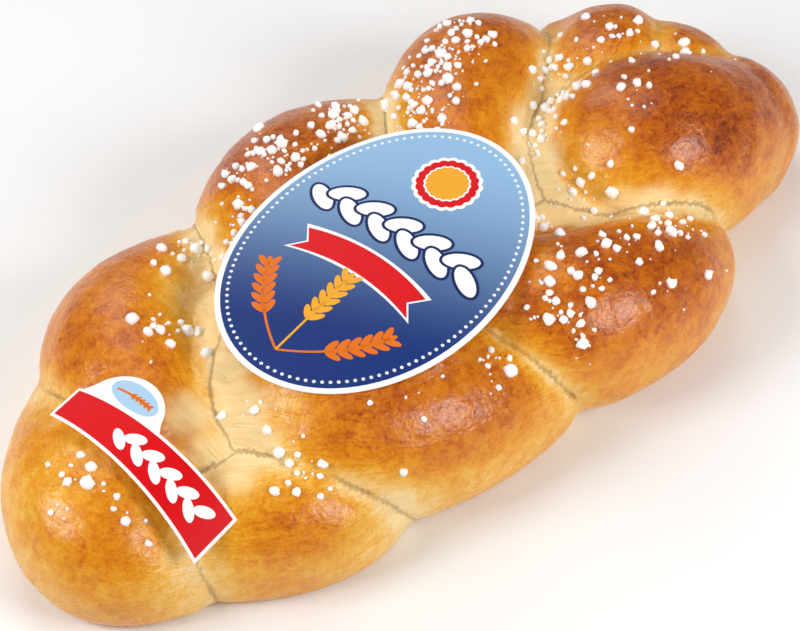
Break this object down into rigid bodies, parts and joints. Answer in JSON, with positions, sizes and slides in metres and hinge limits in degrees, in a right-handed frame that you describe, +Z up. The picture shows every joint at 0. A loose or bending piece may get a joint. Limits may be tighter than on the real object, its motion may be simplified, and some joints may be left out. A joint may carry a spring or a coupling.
{
  "type": "braided loaf",
  "caption": "Braided sweet yeast loaf with glossy golden crust and pearl sugar on top, lying on its flat underside, with an oval and a banner-shaped paper label.",
  "frame": {"origin": "centre of the whole part's box, on the surface that the loaf lies on", "axes": "+X along the loaf towards its far, rounder end, +Z up from the flat underside, -Y the long side that faces the picture's camera"},
  "size_m": [0.4208, 0.2094, 0.0828],
  "materials": {
    "crust": "satin",
    "oval_label": "gloss",
    "banner_label": "gloss"
  },
  "bodies": {
    "root": {"loaf": "crust", "oval_label": "oval_label", "banner_label": "banner_label"}
  },
  "joints": []
}
